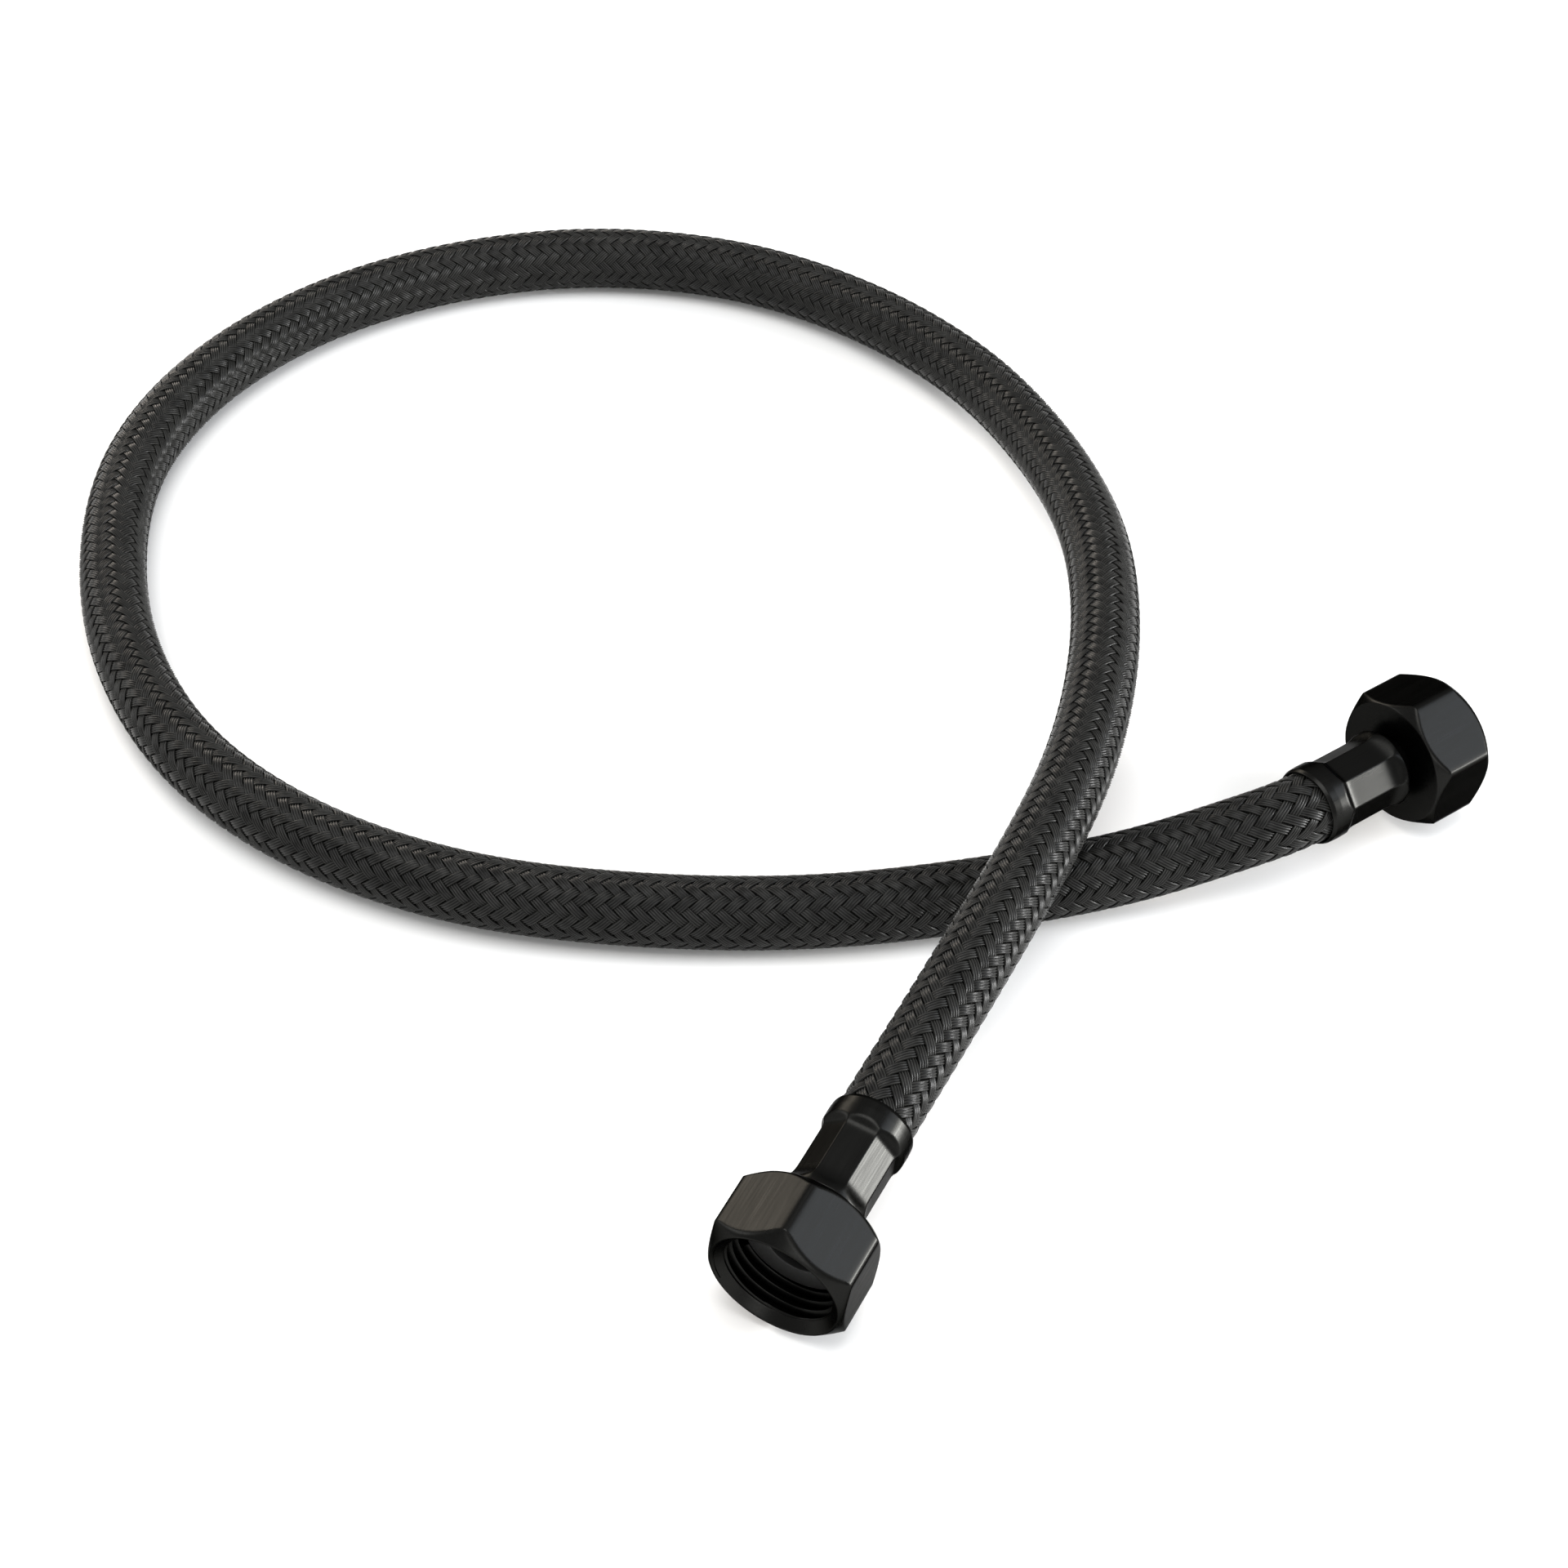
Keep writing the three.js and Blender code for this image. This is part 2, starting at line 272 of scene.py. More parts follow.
def black_plated_brass(settings):
    """Turned and milled brass under satin black plating: a dark metal that stays dark at
    grazing angles, with faint lines along the axis from the drawn bar under the plating and a
    little unevenness that breaks up reflections."""
    material, tree = new_material("satin black-plated brass")
    place = add_node(tree, "ShaderNodeAttribute", attribute_name="bar_place").outputs["Vector"]
    # Draw lines: 0.35 mm apart and about 9 mm long.
    lines = add_node(
        tree, "ShaderNodeTexNoise", {"Vector": add_node(
            tree, "ShaderNodeMapping", {"Vector": place, "Scale": (2.8, 2.8, 0.11)},
        ).outputs["Vector"], "Scale": 1.0, "Detail": 3.0, "Roughness": 0.55},
    ).outputs["Fac"]
    peel = add_node(
        tree, "ShaderNodeTexNoise", {"Vector": place, "Scale": 1.7, "Detail": 3.0},
    ).outputs["Fac"]
    both = add_node(
        tree, "ShaderNodeMath", {0: lines, 1: 0.7, 2: peel}, operation="MULTIPLY_ADD",
    ).outputs[0]
    rough = add_node(
        tree, "ShaderNodeMapRange",
        {"Value": lines, "From Min": 0.3, "From Max": 0.7, "To Min": 0.27, "To Max": 0.36},
    ).outputs["Result"]
    bump = add_node(
        tree, "ShaderNodeBump", {"Height": both, "Strength": 0.07, "Distance": 0.05 * MM},
    ).outputs["Normal"]
    shader = add_node(
        tree, "ShaderNodeBsdfPrincipled",
        {"Base Color": (*settings.coat, 1), "Metallic": 1.0, "Roughness": rough,
         "Specular Tint": (0.38, 0.38, 0.38, 1), "Normal": bump},
    )
    finish_material(tree, shader)
    return material


def epdm_rubber(settings):
    """Moulded EPDM rubber: matt, with a fine grain from the mould."""
    material, tree = new_material("EPDM rubber")
    place = add_node(tree, "ShaderNodeTexCoord").outputs["Object"]
    grain = add_node(
        tree, "ShaderNodeTexNoise", {"Vector": place, "Scale": 2500.0, "Detail": 2.0},
    ).outputs["Fac"]
    bump = add_node(
        tree, "ShaderNodeBump", {"Height": grain, "Strength": 0.3, "Distance": 0.03 * MM},
    ).outputs["Normal"]
    shader = add_node(
        tree, "ShaderNodeBsdfPrincipled",
        {"Base Color": (*settings.rubber, 1), "Roughness": 0.7, "IOR": 1.5, "Normal": bump},
    )
    finish_material(tree, shader)
    return material


def white_paper(settings):
    """A roll of matt white studio paper."""
    material, tree = new_material("white studio paper")
    shader = add_node(
        tree, "ShaderNodeBsdfPrincipled",
        {"Base Color": (*settings.floor, 1), "Roughness": 0.9},
    )
    finish_material(tree, shader)
    return material


def shared(name, make, settings):
    """The material of this name, made the first time it is asked for."""
    found = bpy.data.materials.get(name)
    return found or make(settings)


def give_finish(piece, material):
    """Covers a piece with one material."""
    piece.data.materials.clear()
    piece.data.materials.append(material)


# Modelling

MERGE_DISTANCE = 0.001 * MM


def deselect_all():
    if bpy.context.mode != "OBJECT":
        bpy.ops.object.mode_set(mode="OBJECT")
    bpy.ops.object.select_all(action="DESELECT")


def make_active(piece):
    deselect_all()
    piece.select_set(True)
    bpy.context.view_layer.objects.active = piece


def draw_outline(name, corners):
    """Draws a closed outline in the XZ plane, radius along X and station along Z, by extruding
    one point from corner to corner. Corners are in millimetres. Leaves it in edit mode."""
    deselect_all()
    bpy.ops.mesh.primitive_plane_add(size=MM)
    piece = bpy.context.active_object
    piece.name = name
    piece.data.name = name
    points = [Vector((radius, 0, station)) * MM for radius, station in corners]
    bpy.ops.object.mode_set(mode="EDIT")
    bpy.ops.mesh.select_all(action="SELECT")
    bpy.ops.mesh.merge(type="CENTER")
    bpy.ops.transform.translate(value=points[0])
    for start, end in zip(points, points[1:] + points[:1]):
        bpy.ops.mesh.extrude_region_move(TRANSFORM_OT_translate={"value": end - start})
    bpy.ops.mesh.select_all(action="SELECT")
    bpy.ops.mesh.remove_doubles(threshold=MERGE_DISTANCE)
    return piece


def round_corners(radius):
    """Rounds every corner of the outline in hand."""
    bpy.ops.mesh.select_all(action="SELECT")
    bpy.ops.mesh.bevel(offset=radius * MM, segments=4, affect="VERTICES", clamp_overlap=True)


def refine(piece, longest):
    """Halves the outline's edges until none is longer than this, in millimetres."""
    while True:
        cage = bmesh.from_edit_mesh(piece.data)
        long_edges = [edge for edge in cage.edges if edge.calc_length() > longest * MM]
        if not long_edges:
            return
        for edge in cage.edges:
            edge.select_set(False)
        for edge in long_edges:
            edge.select_set(True)
        bmesh.update_edit_mesh(piece.data)
        bpy.ops.mesh.subdivide(number_cuts=1)


def spin_outline(segments):
    """Turns the outline in hand once round Z into a closed solid."""
    bpy.ops.mesh.select_all(action="SELECT")
    bpy.ops.mesh.spin(
        steps=segments, angle=math.tau, center=(0, 0, 0), axis=(0, 0, 1), use_auto_merge=True,
    )
    bpy.ops.mesh.select_all(action="SELECT")
    bpy.ops.mesh.remove_doubles(threshold=MERGE_DISTANCE)
    bpy.ops.mesh.normals_make_consistent(inside=False)
    bpy.ops.object.mode_set(mode="OBJECT")


def turned_piece(name, corners, rounding, longest, segments):
    """A turned solid from its outline, with rounded corners."""
    piece = draw_outline(name, corners)
    round_corners(rounding)
    refine(piece, longest)
    spin_outline(segments)
    return piece


def points_of(piece):
    """The piece's points as rows of x, y and z."""
    flat = np.empty(len(piece.data.vertices) * 3)
    piece.data.vertices.foreach_get("co", flat)
    return flat.reshape(-1, 3)


def move_points(piece, points):
    piece.data.vertices.foreach_set("co", points.ravel())
    piece.data.update()


def press_flats(piece, sides, across_flats, rounding, inner_radius):
    """Presses flats into a turned blank, as a mill or a crimping die does: a point outside the
    polygon comes in to it, and the edges stay rounded. The shape has to be worked out point
    by point, because the edge of each flat is the curve where it meets a chamfer.
    across_flats gives the size at each station. Points within inner_radius stay."""
    points = points_of(piece)
    radius = np.hypot(points[:, 0], points[:, 1])
    sector = math.tau / sides
    angle = np.arctan2(points[:, 1], points[:, 0])
    off_flat = (angle + sector) % sector - sector / 2
    flat = across_flats(points[:, 2]) / 2 / np.cos(off_flat)
    overlap = np.clip(1 - np.abs(radius - flat) / rounding, 0, None)
    pressed = np.minimum(radius, flat) - overlap**2 * rounding / 4
    pressed = np.where(radius > inner_radius, pressed, radius)
    points[:, :2] *= (pressed / np.maximum(radius, 1e-9))[:, None]
    move_points(piece, points)


def remember_bar_place(piece):
    """Keeps each point's place on the fitting, in millimetres, for patterns along the axis."""
    places = points_of(piece) / MM
    layer = piece.data.attributes.new("bar_place", "FLOAT_VECTOR", "POINT")
    layer.data.foreach_set("vector", places.ravel())


def smooth_by_angle(piece, degrees):
    make_active(piece)
    bpy.ops.object.shade_smooth_by_angle(angle=math.radians(degrees))


def fitting_place(end, turn_degrees):
    """Where a fitting lies: its +Z is the nut's axis, towards the mouth, and its origin is the
    middle of the mouth. A turn of 0 keeps +X level."""
    joint = JOINTS[f"{end}_nut_swivel"]
    axis = Vector(joint["axis"]).normalized()
    level = axis.cross(Vector((0, 0, 1))).normalized()
    upright = Matrix((level, level.cross(axis) * -1, axis)).transposed()
    turn = Matrix.Rotation(math.radians(turn_degrees), 3, "Z")
    return Matrix.Translation(Vector(joint["pos_m"])) @ (upright @ turn).to_4x4()


def set_down(piece, place):
    """Puts a finished piece at its place, with the place in its mesh."""
    remember_bar_place(piece)
    make_active(piece)
    piece.matrix_world = place
    bpy.ops.object.transform_apply(location=True, rotation=True, scale=True)


# The hose

SPAN_SAMPLES = 64  # between two points of the route
RUN_ON = 30 * MM  # straight length added at each end while the line is eased
EASING = 5 * MM  # distance over which a corner of the route is spread


def hose_line(step, tuck):
    """Points along the hose's centre line, a step apart, run on straight into both ferrules. The
    corners of the listed route are eased, as a stiff hose eases them."""
    route = [Vector(point) for point in HOSE_ROUTE]
    knots = [2 * route[0] - route[1], *route, 2 * route[-1] - route[-2]]
    samples = []
    for before, start, end, after in zip(knots, knots[1:], knots[2:], knots[3:]):
        pairs = ((before, start), (start, end), (end, after))
        gaps = [math.sqrt((b - a).length) for a, b in pairs]
        leave = tangent_through(before, start, end, gaps[0], gaps[1])
        arrive = tangent_through(start, end, after, gaps[1], gaps[2])
        for portion in np.arange(0, 1, 1 / SPAN_SAMPLES):
            samples.append(hermite(start, end, leave * gaps[1], arrive * gaps[1], portion))
    samples.append(route[-1])
    first = (samples[0] - samples[1]).normalized()
    last = (samples[-1] - samples[-2]).normalized()
    line = np.array([samples[0] + first * RUN_ON, *samples, samples[-1] + last * RUN_ON])
    line = even_steps(line, step)
    # Each pass averages neighbours, and their number grows with the square of the easing.
    for _ in range(int((EASING / step) ** 2 * 2)):
        line[1:-1] = (line[:-2] + 2 * line[1:-1] + line[2:]) / 4
    run = distance_along(line)
    kept = (run >= RUN_ON - tuck) & (run <= run[-1] - RUN_ON + tuck)
    return even_steps(line[kept], step)


def tangent_through(before, middle, after, gap_before, gap_after):
    """The slope at the middle of three points of an unevenly spaced Catmull-Rom curve."""
    return (
        (middle - before) / gap_before
        - (after - before) / (gap_before + gap_after)
        + (after - middle) / gap_after
    )


def hermite(start, end, leave, arrive, t):
    """A point on the cubic between two points with given slopes."""
    square, cube = t * t, t * t * t
    return (
        start * (2 * cube - 3 * square + 1)
        + leave * (cube - 2 * square + t)
        + end * (3 * square - 2 * cube)
        + arrive * (cube - square)
    )


def distance_along(line):
    steps = np.linalg.norm(np.diff(line, axis=0), axis=1)
    return np.concatenate(([0], np.cumsum(steps)))


def even_steps(line, step):
    """The same line with its points evenly spaced."""
    run = distance_along(line)
    places = np.linspace(0, run[-1], int(round(run[-1] / step)) + 1)
    return np.column_stack([np.interp(places, run, line[:, axis]) for axis in range(3)])


def unit(vectors):
    return vectors / np.linalg.norm(vectors, axis=-1, keepdims=True)


def side_directions(line):
    """Two directions across the line at each point, carried along it without twisting."""
    along = unit(np.gradient(line, axis=0))
    across = np.empty_like(along)
    carried = np.array((0.0, 0.0, 1.0))
    for index, direction in enumerate(along):
        carried = carried - direction * carried.dot(direction)
        carried /= np.linalg.norm(carried)
        across[index] = carried
    return across, np.cross(along, across)


def swept_mesh(name, rings):
    """A mesh from rings of points, one after another, each ring closed on itself. Rings have
    the shape (tubes, rings, points, 3), and each tube is its own skin, closed at both ends."""
    tubes, ring_count, size, _ = rings.shape
    corner = np.arange(tubes * ring_count * size).reshape(tubes, ring_count, size)
    beside = np.roll(corner, -1, axis=2)
    quads = np.stack(
        (corner[:, :-1], beside[:, :-1], beside[:, 1:], corner[:, 1:]), axis=-1,
    ).reshape(-1, 4)
    caps = [*corner[:, 0, ::-1], *corner[:, -1]]
    loops = np.concatenate((quads.ravel(), *caps)).astype(np.int32)
    sizes = np.concatenate((np.full(len(quads), 4), np.full(len(caps), size)))
    starts = np.concatenate(([0], np.cumsum(sizes)[:-1])).astype(np.int32)
    mesh = bpy.data.meshes.new(name)
    mesh.vertices.add(corner.size)
    mesh.vertices.foreach_set("co", rings.reshape(-1))
    mesh.loops.add(len(loops))
    mesh.loops.foreach_set("vertex_index", loops)
    mesh.polygons.add(len(starts))
    mesh.polygons.foreach_set("loop_start", starts)
    mesh.polygons.foreach_set("use_smooth", np.ones(len(starts), dtype=bool))
    mesh.update(calc_edges=True)
    mesh.validate()
    piece = bpy.data.objects.new(name, mesh)
    bpy.context.collection.objects.link(piece)
    return piece


def tube_rings(line, radius, sides):
    across, over = side_directions(line)
    angles = np.arange(sides) * math.tau / sides
    spokes = (
        np.cos(angles)[None, :, None] * across[:, None]
        + np.sin(angles)[None, :, None] * over[:, None]
    )
    return (line[:, None] + radius * spokes)[None]


POINTS_PER_ROW = 3  # across each row of filaments
EDGE_DROP = 0.55  # of the yarn's half thickness, lost at its edges
FLAT_UNDERSIDE = 0.84  # of the yarn's width
CROSSING_SHARPNESS = 1.5  # higher makes a yarn stay up or down longer and cross faster
PATTERN_GAP = 37  # millimetres between the patterns of neighbouring yarns


def yarn_section(settings):
    """The outline of a yarn: x across it and y through it, with a ridge for each row of
    filaments on top and a flat underside, anticlockwise as seen along the yarn."""
    rows = settings.filament_rows
    spots = np.linspace(-1, 1, POINTS_PER_ROW * rows + 1)
    crown = 0.5 * settings.yarn_thickness * (1 - EDGE_DROP * spots**4)
    in_groove = np.arange(len(spots)) % POINTS_PER_ROW == 0
    groove = np.where(in_groove, settings.row_depth, 0)
    top = np.column_stack((spots * settings.yarn_width / 2, crown - groove))
    under = -0.5 * settings.yarn_thickness
    reach = FLAT_UNDERSIDE / 2 * settings.yarn_width
    bottom = [(reach, under), (-reach, under)]
    return np.vstack((top[::-1], bottom[::-1]))


def yarn_rings(line, settings, number, hand):
    """The rings of one yarn. hand is 1 or -1, for the way it winds. It passes over two yarns
    and under two, and its neighbours are a row out of step, which makes the herringbone."""
    across, over = side_directions(line)
    crown = settings.diameter / 2
    middle = crown - settings.weave_depth - settings.yarn_thickness / 2
    wound = distance_along(line) * math.tan(settings.braid_angle) / crown
    angle = number * math.tau / settings.strands + hand * wound
    crossing = settings.strands * wound / math.pi
    over_at = 0.5 if hand > 0 else 2.5
    phase = 2 * number + hand * crossing - over_at
    wave = np.cos(phase * math.pi / 2)
    eased = np.tanh(CROSSING_SHARPNESS * wave) / math.tanh(CROSSING_SHARPNESS)
    lift = settings.weave_depth * eased
    spoke = np.cos(angle)[:, None] * across + np.sin(angle)[:, None] * over
    centre = line + (middle + lift)[:, None] * spoke
    along = unit(np.gradient(centre, axis=0))
    side = unit(np.cross(spoke, along))
    up = np.cross(along, side)
    section = yarn_section(settings)
    return (
        centre[:, None]
        + section[None, :, 0, None] * side[:, None]
        + section[None, :, 1, None] * up[:, None]
    )


def map_yarns(piece, rings, settings):
    """A UV map along each yarn: u from edge to edge, v in millimetres along it."""
    yarns, ring_count, size, _ = rings.shape
    spots = yarn_section(settings)[:, 0] / settings.yarn_width + 0.5
    across = spots[None, None, :].repeat(ring_count, 1).repeat(yarns, 0)
    run = np.stack([distance_along(yarn[:, 0]) for yarn in rings]) / MM
    along = (run + PATTERN_GAP * np.arange(yarns)[:, None])[:, :, None].repeat(size, 2)
    flat = np.stack((across, along), axis=-1).reshape(-1, 2)
    layer = piece.data.uv_layers.new(name="along_yarn")
    corners = np.empty(len(piece.data.loops), dtype=np.int32)
    piece.data.loops.foreach_get("vertex_index", corners)
    layer.data.foreach_set("uv", flat[corners].ravel())


# Operators


class SUPPLYLINE_OT_stage(bpy.types.Operator):
    """Add the camera, the paper floor and the soft lights"""

    bl_idname = "supply_line.stage"
    bl_label = "Stage"

    FLOOR_SIZE = 12  # in metres
    AIR_STRENGTH = 0.55

    def execute(self, context):
        settings = context.scene.supply_line_stage
        self.add_camera(context, settings)
        self.add_floor(settings)
        self.add_lights(settings)
        self.set_world(context)
        context.scene.view_settings.view_transform = "Standard"
        return {"FINISHED"}

    def add_camera(self, context, settings):
        away = Vector((
            -math.sin(settings.heading) * math.cos(settings.pitch),
            math.cos(settings.heading) * math.cos(settings.pitch),
            -math.sin(settings.pitch),
        ))
        bpy.ops.object.camera_add(
            location=Vector(settings.look_at) - away * settings.distance,
            rotation=(math.pi / 2 - settings.pitch, 0, settings.heading),
        )
        camera = context.active_object
        camera.data.lens = settings.focal_length
        camera.data.sensor_width = 36
        camera.data.clip_start = 0.01
        context.scene.camera = camera

    def add_floor(self, settings):
        bpy.ops.mesh.primitive_plane_add(size=self.FLOOR_SIZE)
        floor = bpy.context.active_object
        floor.name = "paper_floor"
        floor.data.materials.append(shared("white studio paper", white_paper, settings))

    def add_lights(self, settings):
        """Soft boxes around the line: bearing from the camera's view and height, in degrees,
        then distance, width and depth, in metres, power in watts, and tint."""
        boxes = (
            ("overhead", 172, 78, 1.6, 1.1, 1.1, 16, "ffffff"),
            ("right_strip", -94, 10, 0.9, 0.3, 0.2, 13, "ffffff"),
            ("right_fill", -94, 35, 1.3, 0.6, 0.4, 3.7, "e9f1ff"),
            ("back_left", 33, 22, 1.2, 0.5, 0.35, 6.2, "fff3e6"),
            ("front", 176, 24, 1.5, 0.9, 0.5, 4.5, "ffffff"),
            ("left", 78, 22, 1.3, 0.8, 0.4, 4.0, "ffffff"),
        )
        target = Vector(settings.look_at)
        for name, bearing, height, distance, width, depth, watts, tint in boxes:
            turn = settings.heading + math.radians(bearing)
            lift = math.radians(height)
            reach = Vector((
                -math.sin(turn) * math.cos(lift), math.cos(turn) * math.cos(lift), math.sin(lift),
            ))
            bpy.ops.object.light_add(type="AREA", location=target + reach * distance)
            light = bpy.context.active_object
            light.name = f"{name}_soft_box"
            light.rotation_euler = reach.to_track_quat("Z", "Y").to_euler()
            light.data.shape = "RECTANGLE"
            light.data.size = width
            light.data.size_y = depth
            light.data.energy = watts
            light.data.color = hex_colour(tint)

    def set_world(self, context):
        world = bpy.data.worlds.new("studio air")
        world.use_nodes = True
        background = world.node_tree.nodes["Background"]
        background.inputs["Color"].default_value = (1, 1, 1, 1)
        background.inputs["Strength"].default_value = self.AIR_STRENGTH
        context.scene.world = world


class SUPPLYLINE_OT_hose(bpy.types.Operator):
    """Add the rubber liner and the yarns woven round it"""

    bl_idname = "supply_line.hose"
    bl_label = "Braided Hose"

    YARNS_PER_PIECE = 4
    YARN_STEP = 0.62 * MM
    LINER_SQUEEZE = 0.12 * MM  # how far the liner bulges up between the yarns
    LINER_SIDES = 32

    def execute(self, context):
        settings = context.scene.supply_line_hose
        line = hose_line(self.YARN_STEP, settings.tuck)
        liner = self.add_liner(line, settings)
        yarns = self.add_yarns(line, settings)
        return {"FINISHED"}

    def add_liner(self, line, settings):
        under_yarns = settings.diameter / 2 - 2 * settings.weave_depth - settings.yarn_thickness
        rings = tube_rings(line[::2], under_yarns + self.LINER_SQUEEZE, self.LINER_SIDES)
        liner = swept_mesh("rubber_liner", rings)
        give_finish(liner, shared("EPDM rubber", epdm_rubber, settings))
        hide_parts("inner_liner", "braid_sleeve")
        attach(liner, "hose")
        return liner

    def add_yarns(self, line, settings):
        nylon = shared("braided nylon yarn", braided_nylon, settings)
        yarns = [(number, hand) for hand in (1, -1) for number in range(settings.strands)]
        pieces = []
        for first in range(0, len(yarns), self.YARNS_PER_PIECE):
            group = yarns[first:first + self.YARNS_PER_PIECE]
            rings = np.stack([yarn_rings(line, settings, *yarn) for yarn in group])
            name = f"braid_yarns_{len(pieces) + 1}"
            piece = swept_mesh(name, rings)
            map_yarns(piece, rings, settings)
            give_finish(piece, nylon)
            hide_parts("braid_sleeve")
            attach(piece, "hose")
            pieces.append(piece)
        return pieces


class SUPPLYLINE_OT_nuts(bpy.types.Operator):
    """Add the two swivel nuts, milled from turned blanks, with their pipe threads"""

    bl_idname = "supply_line.nuts"
    bl_label = "Swivel Nuts"

    REAR_HOLE = 5.5
    REAR_WALL = 2.0
    CONE_FOOT = 9.5
    CONE_DEPTH = 1.6
    UNDERCUT = 0.8  # from the cone's foot back to the thread's root
    CORNER_TRIM = 0.12  # turned off the hexagon's corners
    THREAD_START = -7.6
    THREAD_TURNS = 4
    THREAD_STEPS = 96
    RIDGE_WIDTH = 0.8  # of the thread's pitch, at the ridge's foot
    ROOT_OVERLAP = 0.3  # how far the ridge stands into the nut's wall
    CREST_HALF = 0.07  # half the flat on the ridge's crest
    CREST_CORNER = 0.09  # broken off each side of the crest
    RIDGE_LIMIT = 10.7  # no trimmed point of the ridge goes farther out than this
    CONE_GAP = 0.1  # from the cone's face out to the trimmed ridge, inside the wall
    MOUTH_GAP = 0.25  # from the mouth to the end of the ridge
    TURNS = {"front": -6.5, "rear": 8.0}
    CORNER_UP = 30  # from a level flat's middle to a corner, in degrees

    def execute(self, context):
        settings = context.scene.supply_line_fitting
        for end in ENDS:
            nut = self.add_blank(end, settings)
            thread = self.add_thread(settings)
            deselect_all()
            thread.select_set(True)
            nut.select_set(True)
            context.view_layer.objects.active = nut
            bpy.ops.object.join()
            smooth_by_angle(nut, 50)
            set_down(nut, fitting_place(end, self.TURNS[end] + self.CORNER_UP))
            coat = shared("satin black-plated brass", black_plated_brass, settings)
            give_finish(nut, coat)
            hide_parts(f"{end}_nut")
            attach(nut, f"{end}_nut")
        return {"FINISHED"}

    def add_blank(self, end, settings):
        rear = -settings.nut_length / MM
        corner = settings.across_flats / 2 / math.cos(math.pi / 6) / MM - self.CORNER_TRIM
        mouth = corner - settings.mouth_chamfer / MM
        rear_face = corner - settings.rear_chamfer / MM
        root = settings.thread_major / MM
        outline = [
            (self.REAR_HOLE, rear),
            (rear_face, rear),
            (corner, rear + settings.rear_chamfer / MM),
            (corner, -settings.mouth_chamfer / MM),
            (mouth, 0),
            (self.CONE_FOOT + self.CONE_DEPTH, 0),
            (self.CONE_FOOT, -self.CONE_DEPTH),
            (root, -self.CONE_DEPTH - self.UNDERCUT),
            (root, rear + self.REAR_WALL),
            (self.REAR_HOLE, rear + self.REAR_WALL),
        ]
        nut = turned_piece(
            f"{end}_swivel_nut", outline, rounding=0.3, longest=0.45, segments=192,
        )
        press_flats(
            nut, 6, lambda station: np.full_like(station, settings.across_flats),
            rounding=0.42 * MM, inner_radius=11.2 * MM,
        )
        return nut

    def add_thread(self, settings):
        """The ridge of the female thread, run out inside the countersunk mouth."""
        root = settings.thread_major / MM + self.ROOT_OVERLAP
        crest = settings.thread_minor / MM
        foot = settings.thread_pitch / MM / 2 * self.RIDGE_WIDTH
        start = self.THREAD_START
        outline = [
            (root, start - foot),
            (crest + self.CREST_CORNER, start - self.CREST_HALF - self.CREST_CORNER),
            (crest, start - self.CREST_HALF),
            (crest, start + self.CREST_HALF),
            (crest + self.CREST_CORNER, start + self.CREST_HALF + self.CREST_CORNER),
            (root, start + foot),
        ]
        thread = draw_outline("thread", outline)
        bpy.ops.object.mode_set(mode="OBJECT")
        winding = thread.modifiers.new("Winding", "SCREW")
        winding.axis = "Z"
        winding.screw_offset = settings.thread_pitch
        winding.iterations = self.THREAD_TURNS
        winding.steps = self.THREAD_STEPS
        winding.render_steps = self.THREAD_STEPS
        make_active(thread)
        bpy.ops.object.modifier_apply(modifier=winding.name)
        bpy.ops.object.mode_set(mode="EDIT")
        bpy.ops.mesh.select_all(action="SELECT")
        bpy.ops.mesh.fill_holes(sides=0)
        bpy.ops.mesh.select_all(action="SELECT")
        bpy.ops.mesh.normals_make_consistent(inside=False)
        bpy.ops.object.mode_set(mode="OBJECT")
        points = points_of(thread)
        radius = np.hypot(points[:, 0], points[:, 1])
        lead_in = points[:, 2] + (self.CONE_FOOT + self.CONE_DEPTH + self.CONE_GAP) * MM
        trimmed = np.maximum(radius, np.minimum(lead_in, self.RIDGE_LIMIT * MM))
        points[:, :2] *= (trimmed / radius)[:, None]
        points[:, 2] = np.minimum(points[:, 2], -self.MOUTH_GAP * MM)
        move_points(thread, points)
        return thread


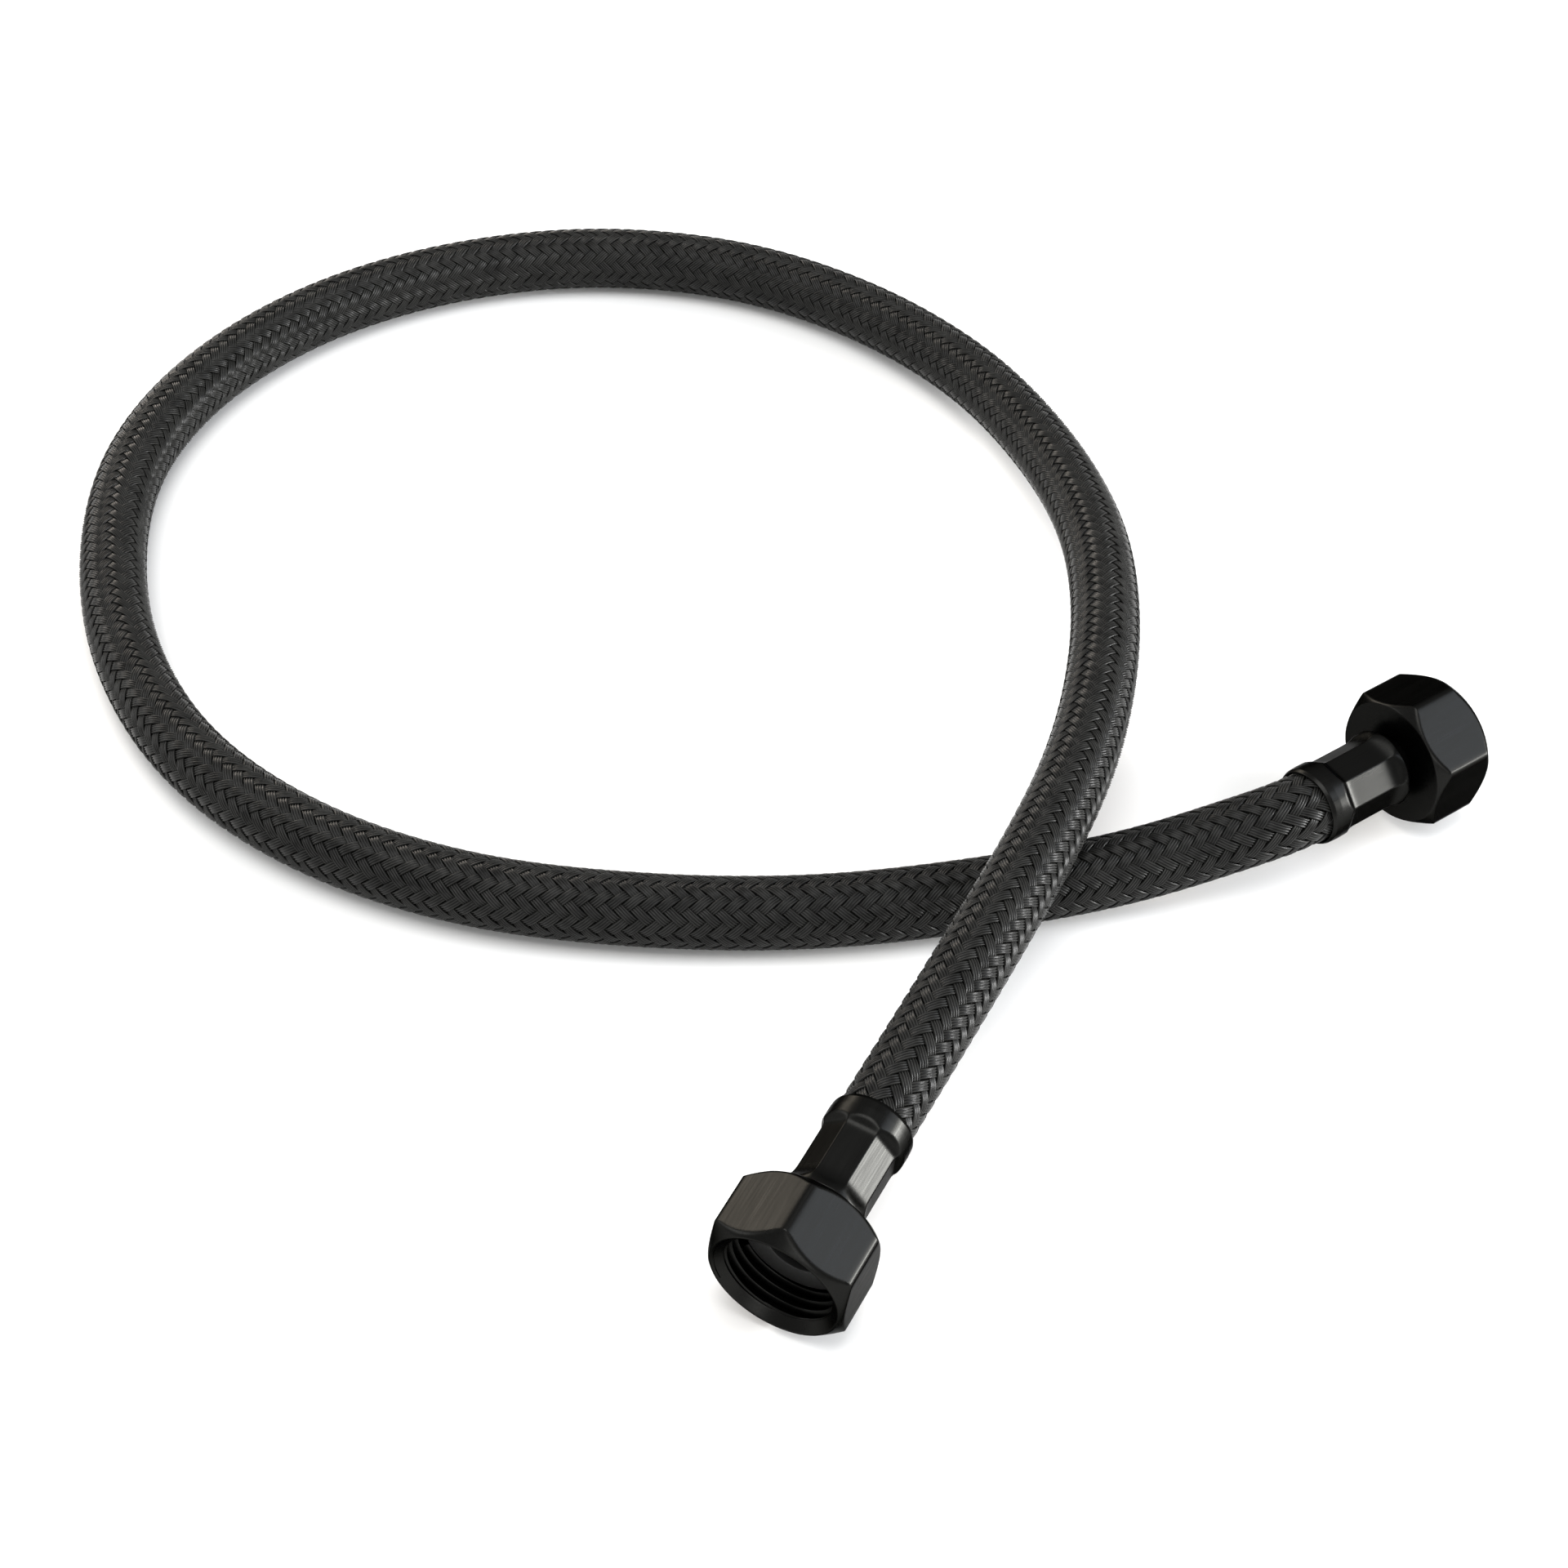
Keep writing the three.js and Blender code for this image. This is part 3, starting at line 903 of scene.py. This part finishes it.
class SUPPLYLINE_OT_ferrules(bpy.types.Operator):
    """Add the crimped ferrules, each pressed to eight flats behind a bell mouth"""

    bl_idname = "supply_line.ferrules"
    bl_label = "Crimped Ferrules"

    TURNS = {"front": -30.0, "rear": 30.0}
    FLATS_START = -18.5
    FLATS_END = -29.4
    NUT_SHOULDER_SLOPE = 0.55
    LIP_SHOULDER_SLOPE = 0.95
    SHOULDER_SOFTNESS = 0.28

    def execute(self, context):
        settings = context.scene.supply_line_fitting
        for end in ENDS:
            ferrule = self.add_ferrule(end, settings)
            smooth_by_angle(ferrule, 50)
            set_down(ferrule, fitting_place(end, self.TURNS[end]))
            coat = shared("satin black-plated brass", black_plated_brass, settings)
            give_finish(ferrule, coat)
            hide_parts(f"{end}_ferrule")
            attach(ferrule, "hose")
        return {"FINISHED"}

    def add_ferrule(self, end, settings):
        nut_end = -settings.ferrule_end / MM
        lip_end = -settings.lip_end / MM
        lip = settings.lip_radius / MM
        outline = [
            (lip - 0.35, lip_end),
            (lip - 0.05, lip_end + 0.7),
            (lip + 0.04, lip_end + 2.2),
            (lip, self.FLATS_END),
            (lip, nut_end - 0.4),
            (lip - 0.4, nut_end),
            (4.6, nut_end),
            (4.6, nut_end - 2.1),
            (5.6, nut_end - 2.1),
            (5.6, lip_end + 4.4),
            (6.9, lip_end + 2.2),
            (6.9, lip_end),
        ]
        ferrule = turned_piece(
            f"{end}_crimped_ferrule", outline, rounding=0.18, longest=0.27, segments=192,
        )

        def across_flats(station):
            """Flat between the shoulders, where the die's ends let the tube swell out."""
            rise = np.maximum(
                (station / MM - self.FLATS_START) * self.NUT_SHOULDER_SLOPE,
                (self.FLATS_END - station / MM) * self.LIP_SHOULDER_SLOPE,
            )
            eased = self.SHOULDER_SOFTNESS * np.logaddexp(0, rise / self.SHOULDER_SOFTNESS)
            return settings.ferrule_flats + 2 * eased * MM

        press_flats(ferrule, 8, across_flats, rounding=0.42 * MM, inner_radius=5.75 * MM)
        return ferrule


class SUPPLYLINE_OT_stems(bpy.types.Operator):
    """Add the barbed stems that the nuts turn on"""

    bl_idname = "supply_line.stems"
    bl_label = "Stems"

    BORE = 2.5
    TAIL_END = -31.7
    BARB_ROOT = 3.2
    BARB_TIP = 3.45
    COLLAR = 5.2
    FLANGE = 8.7
    FLANGE_FRONT = -10
    FLANGE_BACK = -11.2

    def execute(self, context):
        settings = context.scene.supply_line_fitting
        ferrule_end = -settings.ferrule_end / MM
        for end in ENDS:
            outline = [
                (self.BARB_ROOT, self.TAIL_END), (self.BARB_TIP, -28.5),
                (self.BARB_ROOT, -28.2), (self.BARB_TIP, -25),
                (self.BARB_ROOT, -24.8), (self.BARB_TIP, -21),
                (self.BARB_ROOT, -20.8), (self.BARB_ROOT, ferrule_end - 2.2),
                (4.3, ferrule_end - 2.2), (4.3, ferrule_end + 0.3),
                (self.COLLAR, ferrule_end + 0.3), (self.COLLAR, self.FLANGE_BACK),
                (self.FLANGE, self.FLANGE_BACK), (self.FLANGE, self.FLANGE_FRONT),
                (self.BORE + 0.6, self.FLANGE_FRONT), (self.BORE, self.FLANGE_FRONT - 0.6),
                (self.BORE, self.TAIL_END),
            ]
            stem = turned_piece(
                f"{end}_barbed_stem", outline, rounding=0.08, longest=1.5, segments=96,
            )
            smooth_by_angle(stem, 40)
            set_down(stem, fitting_place(end, 0))
            coat = shared("satin black-plated brass", black_plated_brass, settings)
            give_finish(stem, coat)
            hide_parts(f"{end}_stem")
            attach(stem, "hose")
        return {"FINISHED"}


class SUPPLYLINE_OT_gaskets(bpy.types.Operator):
    """Add the flat gaskets held in the nuts"""

    bl_idname = "supply_line.gaskets"
    bl_label = "Gaskets"

    HOLE = 5
    RADIUS = 9.2
    BACK = -8.9
    FRONT = -7.5

    def execute(self, context):
        settings = context.scene.supply_line_hose
        for end in ENDS:
            outline = [
                (self.HOLE, self.BACK), (self.RADIUS, self.BACK),
                (self.RADIUS, self.FRONT), (self.HOLE, self.FRONT),
            ]
            gasket = turned_piece(
                f"{end}_flat_gasket", outline, rounding=0.2, longest=0.8, segments=96,
            )
            smooth_by_angle(gasket, 40)
            set_down(gasket, fitting_place(end, 0))
            give_finish(gasket, shared("EPDM rubber", epdm_rubber, settings))
            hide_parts(f"{end}_gasket")
            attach(gasket, f"{end}_gasket")
        return {"FINISHED"}


class SUPPLYLINE_PT_panel(bpy.types.Panel):
    """Lists the pieces of the supply line"""

    bl_label = "Supply Line"
    bl_idname = "SUPPLYLINE_PT_panel"
    bl_space_type = "VIEW_3D"
    bl_region_type = "UI"
    bl_category = "Supply Line"

    def draw(self, context):
        for operator in OPERATORS:
            self.layout.operator(operator.bl_idname)


OPERATORS = (
    SUPPLYLINE_OT_stage,
    SUPPLYLINE_OT_hose,
    SUPPLYLINE_OT_nuts,
    SUPPLYLINE_OT_ferrules,
    SUPPLYLINE_OT_stems,
    SUPPLYLINE_OT_gaskets,
)
SETTINGS = {
    "supply_line_hose": HoseSettings,
    "supply_line_fitting": FittingSettings,
    "supply_line_stage": StageSettings,
}
CLASSES = (*SETTINGS.values(), *OPERATORS, SUPPLYLINE_PT_panel)


def register():
    for cls in CLASSES:
        bpy.utils.register_class(cls)
    for name, group in SETTINGS.items():
        setattr(bpy.types.Scene, name, bpy.props.PointerProperty(type=group))


def unregister():
    for name in SETTINGS:
        delattr(bpy.types.Scene, name)
    for cls in reversed(CLASSES):
        bpy.utils.unregister_class(cls)


def main():
    register()
    bpy.ops.supply_line.stage()
    bpy.ops.supply_line.hose()
    bpy.ops.supply_line.nuts()
    bpy.ops.supply_line.ferrules()
    bpy.ops.supply_line.stems()
    bpy.ops.supply_line.gaskets()


if __name__ == "__main__":
    main()
